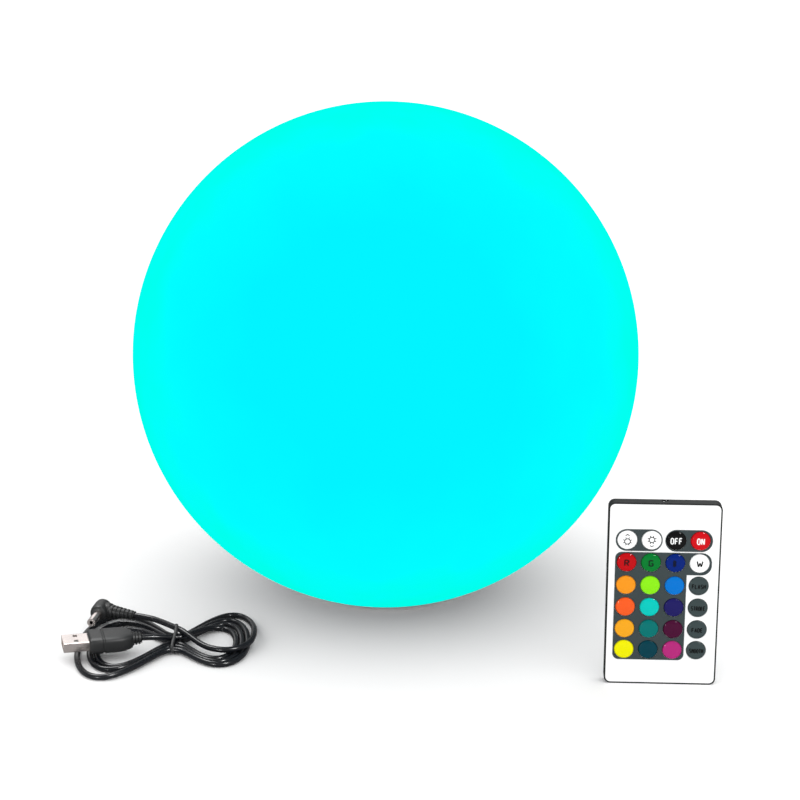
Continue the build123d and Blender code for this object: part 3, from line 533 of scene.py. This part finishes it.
def lamp_icon(rising):
    """Lamp with short rays, and an arrowhead above it for brighter or below it for dimmer."""
    way = 1 if rising else -1
    centre = -0.00045 * way
    lamp_r, ray_from, ray_to, stroke = 0.00125, 0.0015, 0.00205, 0.00038
    strokes = bow(0.0, centre, lamp_r, 0, 360, 0.00042, 24)
    for k in range(8):
        a = math.radians(22.5 + 45 * k)
        c, s = math.cos(a), math.sin(a)
        strokes += bar(c * ray_from, centre + s * ray_from, c * ray_to, centre + s * ray_to, stroke)
    tip = centre + way * 0.0032
    for side in (-1, 1):
        strokes += bar(side * 0.0009, tip - way * 0.0005, -side * 0.00006, tip, stroke)
    return strokes


# Strokes of plain block capitals on a grid two units wide and four high. A bar is its two ends, and a bow
# is (x, y, radius, from, to).
LETTERS = {
    "A": [((0, 0), (1, 4)), ((1, 4), (2, 0)), ((0.45, 1.4), (1.55, 1.4))],
    "B": [((0, 0), (0, 4)), (0, 3, 1, 90, -90), (0, 1, 1, 90, -90)],
    "D": [((0, 0), (0, 4)), ((0, 4), (0.6, 4)), ((0, 0), (0.6, 0)), (0.6, 2.6, 1.4, 90, 0),
          (0.6, 1.4, 1.4, 0, -90), ((2, 1.4), (2, 2.6))],
    "E": [((0, 0), (0, 4)), ((0, 4), (1.9, 4)), ((0, 2.1), (1.6, 2.1)), ((0, 0), (1.9, 0))],
    "F": [((0, 0), (0, 4)), ((0, 4), (1.9, 4)), ((0, 2.1), (1.6, 2.1))],
    "G": [(1, 3, 1, 30, 180), ((0, 3), (0, 1)), (1, 1, 1, 180, 360), ((2, 1), (2, 1.8)),
          ((1.1, 1.8), (2, 1.8))],
    "H": [((0, 0), (0, 4)), ((2, 0), (2, 4)), ((0, 2.1), (2, 2.1))],
    "L": [((0, 4), (0, 0)), ((0, 0), (1.8, 0))],
    "M": [((0, 0), (0, 4)), ((0, 4), (1, 1.6)), ((1, 1.6), (2, 4)), ((2, 4), (2, 0))],
    "N": [((0, 0), (0, 4)), ((0, 4), (2, 0)), ((2, 0), (2, 4))],
    "O": [(1, 3, 1, 0, 180), ((0, 3), (0, 1)), (1, 1, 1, 180, 360), ((2, 1), (2, 3))],
    "R": [((0, 0), (0, 4)), ((0, 4), (1, 4)), ((0, 2), (1, 2)), (1, 3, 1, 90, -90), ((0.9, 2), (2, 0))],
    "S": [(1, 3, 1, 40, 270), (1, 1, 1, 90, -140)],
    "T": [((1, 0), (1, 4)), ((0, 4), (2, 4))],
    "W": [((0, 4), (0.5, 0)), ((0.5, 0), (1, 2.8)), ((1, 2.8), (1.5, 0)), ((1.5, 0), (2, 4))],
}


def word(text, height, stroke, squeeze):
    """Flat strokes of a word, centred on the key; squeeze is its width against the plain letters'."""
    unit = height / 4
    pitch = 3.3 * unit * squeeze
    left = -(pitch * (len(text) - 1) + 2 * unit * squeeze) / 2
    flats = []
    for i, letter in enumerate(text):
        x = left + pitch * i
        for mark in LETTERS[letter]:
            if len(mark) == 2:
                (x0, y0), (x1, y1) = mark
                ends = (x + x0 * unit * squeeze, (y0 - 2) * unit, x + x1 * unit * squeeze, (y1 - 2) * unit)
                flats += bar(*ends, stroke)
            else:
                cx, cy, radius, start, end = mark
                for quad in bow(0.0, 0.0, radius * unit, start, end, stroke, 8):
                    flats.append([(x + (cx * unit + a) * squeeze, (cy - 2) * unit + b) for a, b in quad])
    return flats


# ---- Finishes: shared effects ------------------------------------------------------------------

def effect(name, inputs, outputs):
    """An empty node group with named inputs and outputs, and its two end nodes."""
    group = bpy.data.node_groups.new(name, "ShaderNodeTree")
    for label, kind, value in inputs:
        socket = group.interface.new_socket(label, in_out="INPUT", socket_type=kind)
        socket.default_value = value
    for label, kind in outputs:
        group.interface.new_socket(label, in_out="OUTPUT", socket_type=kind)
    return group, group.nodes.new("NodeGroupInput"), group.nodes.new("NodeGroupOutput")


def noise(tree, coordinate, scale, detail, rough=0.5):
    """Noise value at a coordinate; scale is a number or another node's output."""
    made = tree.nodes.new("ShaderNodeTexNoise")
    made.inputs["Detail"].default_value = detail
    made.inputs["Roughness"].default_value = rough
    tree.links.new(coordinate, made.inputs["Vector"])
    if isinstance(scale, (int, float)):
        made.inputs["Scale"].default_value = scale
    else:
        tree.links.new(scale, made.inputs["Scale"])
    return made.outputs["Fac"]


def remap(tree, value, low, high, to_low, to_high):
    """A value's range moved to another; the new bounds are numbers or other nodes' outputs."""
    made = tree.nodes.new("ShaderNodeMapRange")
    tree.links.new(value, made.inputs["Value"])
    made.inputs["From Min"].default_value = low
    made.inputs["From Max"].default_value = high
    for name, bound in (("To Min", to_low), ("To Max", to_high)):
        if isinstance(bound, (int, float)):
            made.inputs[name].default_value = bound
        else:
            tree.links.new(bound, made.inputs[name])
    return made.outputs["Result"]


def blend_colour(tree, factor, a, b):
    """From a to b as the factor goes from 0 to 1; each is a colour or another node's output."""
    made = tree.nodes.new("ShaderNodeMix")
    made.data_type = "RGBA"
    tree.links.new(factor, made.inputs[0])
    for socket, colour in ((made.inputs[6], a), (made.inputs[7], b)):
        if isinstance(colour, tuple):
            socket.default_value = colour
        else:
            tree.links.new(colour, socket)
    return made.outputs[2]


def moulded_grain():
    """Fine spark-eroded grain over slow clouding, as moulded plastic and rubber show."""
    group, given, result = effect(
        "Moulded Grain",
        [("Colour", "NodeSocketColor", (0.5, 0.5, 0.5, 1)),
         ("Clouded", "NodeSocketColor", (0.4, 0.4, 0.4, 1)),
         ("Grain Scale", "NodeSocketFloat", 2500.0), ("Smoothest", "NodeSocketFloat", 0.3),
         ("Roughest", "NodeSocketFloat", 0.5)],
        [("Colour", "NodeSocketColor"), ("Roughness", "NodeSocketFloat"), ("Height", "NodeSocketFloat")],
    )
    where = group.nodes.new("ShaderNodeTexCoord").outputs["Object"]
    grain = noise(group, where, given.outputs["Grain Scale"], 3.0, 0.6)
    cloud = noise(group, where, 55.0, 2.0)
    mixed = blend_colour(group, remap(group, cloud, 0.35, 0.7, 0.0, 1.0), given.outputs["Colour"],
                         given.outputs["Clouded"])
    group.links.new(mixed, result.inputs["Colour"])
    rough = remap(group, grain, 0.3, 0.7, given.outputs["Smoothest"], given.outputs["Roughest"])
    group.links.new(rough, result.inputs["Roughness"])
    group.links.new(grain, result.inputs["Height"])
    return group


def drawn_streaks():
    """Fine lines left in metal by drawing or rolling, along X, with slow tarnish between them."""
    group, given, result = effect(
        "Drawn Streaks",
        [("Colour", "NodeSocketColor", (0.6, 0.6, 0.6, 1)),
         ("Tarnish", "NodeSocketColor", (0.4, 0.4, 0.4, 1)),
         ("Streak Scale", "NodeSocketFloat", 900.0), ("Smoothest", "NodeSocketFloat", 0.15),
         ("Roughest", "NodeSocketFloat", 0.3)],
        [("Colour", "NodeSocketColor"), ("Roughness", "NodeSocketFloat"), ("Height", "NodeSocketFloat")],
    )
    where = group.nodes.new("ShaderNodeTexCoord").outputs["Object"]
    stretch = group.nodes.new("ShaderNodeMapping")
    stretch.inputs["Scale"].default_value = (0.06, 1.0, 1.0)
    group.links.new(where, stretch.inputs["Vector"])
    streak = noise(group, stretch.outputs["Vector"], given.outputs["Streak Scale"], 4.0, 0.65)
    cloud = noise(group, where, 120.0, 3.0)
    mixed = blend_colour(group, remap(group, cloud, 0.4, 0.75, 0.0, 1.0), given.outputs["Colour"],
                         given.outputs["Tarnish"])
    group.links.new(mixed, result.inputs["Colour"])
    rough = remap(group, streak, 0.3, 0.7, given.outputs["Smoothest"], given.outputs["Roughest"])
    group.links.new(rough, result.inputs["Roughness"])
    group.links.new(streak, result.inputs["Height"])
    return group


GRAIN = moulded_grain()
STREAKS = drawn_streaks()


# ---- Finishes ----------------------------------------------------------------------------------

def display(r, g, b):
    """Linear colour from display values of 0 to 255."""
    out = []
    for value in (r, g, b):
        c = value / 255
        out.append(c / 12.92 if c <= 0.04045 else ((c + 0.055) / 1.055) ** 2.4)
    return (*out, 1.0)


def darker(colour, share):
    """A colour with this share of its brightness."""
    return (colour[0] * share, colour[1] * share, colour[2] * share, 1.0)


def surface(name, effect_group, settings, bump=0.0, depth=0.0, **plain):
    """A material whose colour, roughness and bump come from an effect; plain values sit on its shader."""
    made = bpy.data.materials.new(name)
    made.use_nodes = True
    tree = made.node_tree
    shader = tree.nodes["Principled BSDF"]
    worked = tree.nodes.new("ShaderNodeGroup")
    worked.node_tree = effect_group
    for label, value in settings.items():
        worked.inputs[label].default_value = value
    tree.links.new(worked.outputs["Colour"], shader.inputs["Base Color"])
    tree.links.new(worked.outputs["Roughness"], shader.inputs["Roughness"])
    if bump:
        relief = tree.nodes.new("ShaderNodeBump")
        relief.inputs["Strength"].default_value = bump
        relief.inputs["Distance"].default_value = depth
        tree.links.new(worked.outputs["Height"], relief.inputs["Height"])
        tree.links.new(relief.outputs["Normal"], shader.inputs["Normal"])
    for label, value in plain.items():
        shader.inputs[label.replace("_", " ")].default_value = value
    return made


def moulded(name, colour, clouding=0.85, grain=2500.0, smoothest=0.35, roughest=0.5, bump=0.25,
            depth=0.00004, **plain):
    """Moulded plastic or rubber; clouding is the share of brightness left where it is darkest."""
    settings = {"Colour": colour, "Clouded": darker(colour, clouding), "Grain Scale": grain,
                "Smoothest": smoothest, "Roughest": roughest}
    return surface(name, GRAIN, settings, bump, depth, **plain)


def metal(name, colour, tarnish=0.8, streaks=900.0, smoothest=0.15, roughest=0.3, bump=0.15, **plain):
    """Drawn or rolled metal; tarnish is the share of brightness left where it is darkest."""
    settings = {"Colour": colour, "Tarnish": darker(colour, tarnish), "Streak Scale": streaks,
                "Smoothest": smoothest, "Roughest": roughest}
    return surface(name, STREAKS, settings, bump, 0.00002, Metallic=1.0, **plain)


# The ball glows cyan about an axis that leans back by GLOW_TILT from straight ahead, and greener with
# distance from that axis. Along the axis, distance counts for GLOW_DEPTH of what it does across it.
GLOW_TILT = math.radians(14)
GLOW_DEPTH = 0.35
GLOW_MIDDLE, GLOW_OUTER, GLOW_RIM = display(2, 240, 254), display(1, 251, 253), display(2, 253, 232)
# What the ball gives to the pieces round it, which is much less, and without its colour.
SPILL = (0.16, 0.16, 0.165, 1.0)


def glowing_polythene():
    """Lit translucent shell: cyan in the middle, a little greener towards its rim."""
    made = bpy.data.materials.new("lit_polythene")
    made.use_nodes = True
    tree = made.node_tree
    shader = tree.nodes["Principled BSDF"]
    where = tree.nodes.new("ShaderNodeTexCoord").outputs["Object"]
    centred = tree.nodes.new("ShaderNodeMapping")
    centred.vector_type = "TEXTURE"
    centred.inputs["Location"].default_value = BALL_CENTRE
    centred.inputs["Rotation"].default_value = (-GLOW_TILT, 0.0, 0.0)
    centred.inputs["Scale"].default_value = (BALL_R, BALL_R / GLOW_DEPTH, BALL_R)
    tree.links.new(where, centred.inputs["Vector"])
    reach = tree.nodes.new("ShaderNodeVectorMath")
    reach.operation = "LENGTH"
    tree.links.new(centred.outputs["Vector"], reach.inputs[0])
    uneven = noise(tree, where, 28.0, 3.0)
    wobble = remap(tree, uneven, 0.3, 0.7, -0.05, 0.05)
    total = tree.nodes.new("ShaderNodeMath")
    total.operation = "ADD"
    tree.links.new(reach.outputs["Value"], total.inputs[0])
    tree.links.new(wobble, total.inputs[1])
    greener = remap(tree, total.outputs[0], 0.55, 0.88, 0.0, 1.0)
    rim = remap(tree, total.outputs[0], 0.83, 0.99, 0.0, 1.0)
    glow = blend_colour(tree, rim, blend_colour(tree, greener, GLOW_MIDDLE, GLOW_OUTER), GLOW_RIM)
    rays = tree.nodes.new("ShaderNodeLightPath")
    seen = blend_colour(tree, rays.outputs["Is Camera Ray"], SPILL, glow)
    tree.links.new(seen, shader.inputs["Emission Color"])
    skin = noise(tree, where, 900.0, 3.0)
    tone = blend_colour(tree, uneven, (0.0, 0.020, 0.022, 1), (0.0, 0.028, 0.028, 1))
    tree.links.new(tone, shader.inputs["Base Color"])
    tree.links.new(remap(tree, skin, 0.3, 0.7, 0.55, 0.7), shader.inputs["Roughness"])
    relief = tree.nodes.new("ShaderNodeBump")
    relief.inputs["Strength"].default_value = 0.2
    relief.inputs["Distance"].default_value = 0.0001
    tree.links.new(skin, relief.inputs["Height"])
    tree.links.new(relief.outputs["Normal"], shader.inputs["Normal"])
    shader.inputs["Emission Strength"].default_value = 1.0
    shader.inputs["Specular IOR Level"].default_value = 0.0
    return made


WHITE = display(250, 251, 251)
FINISHES = {
    "white_abs": moulded("white_abs", display(232, 233, 232), 0.94),
    "grey_silicone": moulded("grey_silicone", display(176, 182, 184), 0.9, 1600.0, 0.5, 0.7, 0.3),
    "cast_ballast": moulded("cast_ballast", display(96, 98, 100), 0.7, 900.0, 0.5, 0.8, 0.6, 0.0002),
    "screw_steel": metal("screw_steel", display(196, 198, 202)),
    "plug_steel": metal("plug_steel", display(232, 222, 218), 0.86, 1400.0, 0.16, 0.28, 0.1),
    "board_green": moulded("board_green", display(18, 92, 50), 0.6, 700.0, 0.2, 0.35, 0.2,
                           Coat_Weight=0.4),
    "board_white": moulded("board_white", display(238, 240, 238), 0.95, 900.0, 0.3, 0.4),
    "chip_phosphor": moulded("chip_phosphor", display(246, 240, 190), 0.85, 3000.0, 0.2, 0.3,
                             Coat_Weight=0.6),
    "cell_wrap": moulded("cell_wrap", display(40, 96, 172), 0.85, 500.0, 0.2, 0.35, 0.2,
                         Coat_Weight=0.3),
    "smoked_lens": moulded("smoked_lens", display(34, 14, 26), 0.8, 3000.0, 0.08, 0.15, 0.05,
                           Coat_Weight=0.8),
    "black_plastic": moulded("black_plastic", display(34, 36, 37), 0.78, 3200.0, 0.42, 0.56, 0.35),
    "wire_red": moulded("wire_red", display(186, 26, 22), 0.8, 1500.0, 0.35, 0.5),
    "lead_pvc": moulded("lead_pvc", display(18, 21, 27), 0.75, 2600.0, 0.22, 0.3, 0.2),
    "tie_plastic": moulded("tie_plastic", display(30, 31, 33), 0.8, 2600.0, 0.4, 0.55),
    "tongue_white": moulded("tongue_white", display(228, 228, 224), 0.94),
    # The case's dark charcoal is painted shade: the remote's side walls, dark only where they sit in shade, are
    # given a dark colour.
    "case_charcoal": moulded("case_charcoal", display(34, 37, 37), 0.85, 3400.0, 0.45, 0.6, 0.35,
                             Specular_IOR_Level=0.25),
    "face_white": moulded("face_white", display(240, 241, 241), 0.985, 3000.0, 0.35, 0.45, 0.12,
                          Specular_IOR_Level=0.2),
    "panel_slate": moulded("panel_slate", display(56, 66, 68), 0.92, 3000.0, 0.45, 0.55, 0.12,
                           Specular_IOR_Level=0.15),
    "snap_steel": metal("snap_steel", display(204, 206, 208), 0.85, 2200.0),
}


def clear_acrylic():
    made = moulded("clear_acrylic", display(240, 248, 248), 0.97, 2000.0, 0.03, 0.08, 0.03, IOR=1.49)
    made.node_tree.nodes["Principled BSDF"].inputs["Transmission Weight"].default_value = 1.0
    return made


FINISHES["clear_lens"] = clear_acrylic()
FINISHES["glowing_shell"] = glowing_polythene()

# The set is lit to well above white, so every key but the white ones is mixed this much darker.
UNDER_STUDIO = 0.78

# Key colours, then the print on the key and its colour.
PALE, INK = display(236, 238, 238), display(9, 10, 11)
GREY_KEY = display(64, 76, 77)
KEYS = {
    "key_brighter": (WHITE, "brighter", INK), "key_dimmer": (WHITE, "dimmer", INK),
    "key_off": (display(14, 14, 15), "OFF", PALE), "key_on": (display(214, 12, 24), "ON", PALE),
    "key_red": (display(198, 8, 18), "R", display(58, 8, 12)),
    "key_green": (display(0, 126, 48), "G", display(6, 46, 26)),
    "key_blue": (display(0, 36, 124), "B", display(8, 16, 44)), "key_white": (WHITE, "W", INK),
    "key_orange": (display(255, 158, 32), "", None), "key_lime": (display(146, 244, 24), "", None),
    "key_azure": (display(0, 120, 214), "", None), "key_flash": (GREY_KEY, "FLASH", INK),
    "key_vermilion": (display(255, 98, 38), "", None), "key_turquoise": (display(0, 208, 196), "", None),
    "key_navy": (display(32, 28, 100), "", None), "key_strobe": (GREY_KEY, "STROBE", INK),
    "key_amber": (display(255, 176, 34), "", None), "key_teal": (display(0, 120, 116), "", None),
    "key_plum": (display(76, 10, 52), "", None), "key_fade": (GREY_KEY, "FADE", INK),
    "key_yellow": (display(250, 246, 0), "", None), "key_petrol": (display(0, 64, 78), "", None),
    "key_magenta": (display(186, 44, 126), "", None), "key_smooth": (GREY_KEY, "SMOOTH", INK),
}


def legend(text):
    """Print for one key: a lamp, one letter, a short word or a long one."""
    if text in ("brighter", "dimmer"):
        return lamp_icon(text == "brighter")
    if len(text) == 1:
        return word(text, 0.0026, 0.00062, squeeze=1.9 if text == "W" else 1.3)
    if len(text) < 4:
        return word(text, 0.0026, 0.00052, squeeze=0.86)
    return word(text, 0.0018, 0.00044, squeeze=0.86 if len(text) < 6 else 0.72)


def add_keys():
    """Every key's cap and print. Keys printed alike share one ink."""
    inks = {}
    for node, (colour, text, ink) in KEYS.items():
        under = colour if colour is WHITE else darker(colour, UNDER_STUDIO)
        cap_finish = moulded(node + "_gloss", under, 0.97, 1800.0, 0.16, 0.24, 0.06,
                             Coat_Weight=0.42, Coat_Roughness=0.04, Specular_IOR_Level=0.0)
        add_key_cap(node, cap_finish)
        if text:
            if ink not in inks:
                inks[ink] = moulded("print_ink_" + str(len(inks)), ink, 0.9, 3000.0, 0.5, 0.65, 0.1,
                                    Specular_IOR_Level=0.1)
            add_legend(node, legend(text), inks[ink], node + "_gloss")


def dress_cad_nodes():
    """Gives every CAD node that stays the finish of its own material slot."""
    for part in frame["record"]["subparts"]:
        finish = FINISHES.get(part["material_slot"])
        if finish is not None:
            for held in NODES[part["node"]].material_slots:
                held.material = finish


# ---- Studio ------------------------------------------------------------------------------------

SKY_STRENGTH = 1.38
# Gloss sees the sky and the table duller than they are, so that dark plastic stays dark.
SKY_IN_GLOSS, TABLE_IN_GLOSS = (0.2, 0.2, 0.2, 1), (0.35, 0.35, 0.35, 1)
PURE_WHITE = (1.0, 1.0, 1.0, 1)


def add_floor():
    """White table, with a window under the foot of the base that shows the underside from below."""
    window, edge, count = 0.0378, 9.9, 96
    mesh = bpy.data.meshes.new("studio_floor")
    ring = [(math.cos(math.tau * i / count), math.sin(math.tau * i / count)) for i in range(count)]
    points = [(x * radius, y * radius, 0.0) for radius in (window, edge) for x, y in ring]
    faces = [(i, count + i, count + (i + 1) % count, (i + 1) % count) for i in range(count)]
    mesh.from_pydata(points, [], faces)
    floor = bpy.data.objects.new("studio_floor", mesh)
    bpy.context.scene.collection.objects.link(floor)
    finish = bpy.data.materials.new("floor_paper")
    finish.use_nodes = True
    tree = finish.node_tree
    shader = tree.nodes["Principled BSDF"]
    rays = tree.nodes.new("ShaderNodeLightPath")
    tone = blend_colour(tree, rays.outputs["Is Glossy Ray"], PURE_WHITE, TABLE_IN_GLOSS)
    tree.links.new(tone, shader.inputs["Base Color"])
    shader.inputs["Roughness"].default_value = 1.0
    shader.inputs["Specular IOR Level"].default_value = 0.0
    side = tree.nodes.new("ShaderNodeNewGeometry").outputs["Backfacing"]
    clear = tree.nodes.new("ShaderNodeBsdfTransparent")
    mix = tree.nodes.new("ShaderNodeMixShader")
    tree.links.new(side, mix.inputs[0])
    tree.links.new(shader.outputs[0], mix.inputs[1])
    tree.links.new(clear.outputs[0], mix.inputs[2])
    tree.links.new(mix.outputs[0], tree.nodes["Material Output"].inputs["Surface"])
    mesh.materials.append(finish)


def softbox(name, place, aim, size, power):
    """A light seen only in glossy reflections."""
    data = bpy.data.lights.new(name, "AREA")
    data.shape = "RECTANGLE"
    data.size, data.size_y = size
    data.energy = power
    light = bpy.data.objects.new(name, data)
    light.location = place
    light.rotation_euler = (Vector(aim) - Vector(place)).to_track_quat("-Z", "Y").to_euler()
    light.visible_diffuse = False
    bpy.context.scene.collection.objects.link(light)


def light_the_set():
    world = bpy.data.worlds.new("studio_white")
    bpy.context.scene.world = world
    world.use_nodes = True
    tree = world.node_tree
    back = tree.nodes["Background"]
    rays = tree.nodes.new("ShaderNodeLightPath")
    tone = blend_colour(tree, rays.outputs["Is Glossy Ray"], PURE_WHITE, SKY_IN_GLOSS)
    tree.links.new(tone, back.inputs["Color"])
    back.inputs["Strength"].default_value = SKY_STRENGTH
    remote_face = REMOTE_PLACE @ Vector((0.0, 0.045, 0.0))
    lead_middle = Vector((-0.1, -0.09, 0.0))
    softbox("key_gleam", (0.62, -0.72, 0.78), remote_face, (0.26, 0.26), 11.0)
    softbox("low_gleam", (-0.5, -0.9, 0.1), remote_face, (0.2, 0.1), 3.0)
    softbox("lead_gleam", (-0.15, 0.25, 0.85), lead_middle, (1.1, 0.4), 14.0)
    softbox("plug_card", (-0.35, 1.0, 0.5), lead_middle, (0.8, 0.5), 1.2)
    bpy.context.scene.view_settings.view_transform = "Standard"


# ---- Build -------------------------------------------------------------------------------------

add_camera()
cord = add_lead(FINISHES["lead_pvc"])
tie = add_tie(FINISHES["tie_plastic"])
usb_grip = add_usb_grip(FINISHES["black_plastic"])
dc_grip = add_dc_grip(FINISHES["black_plastic"])
add_ball_shell(FINISHES["glowing_shell"])
add_keys()
dress_cad_nodes()
add_floor()
light_the_set()
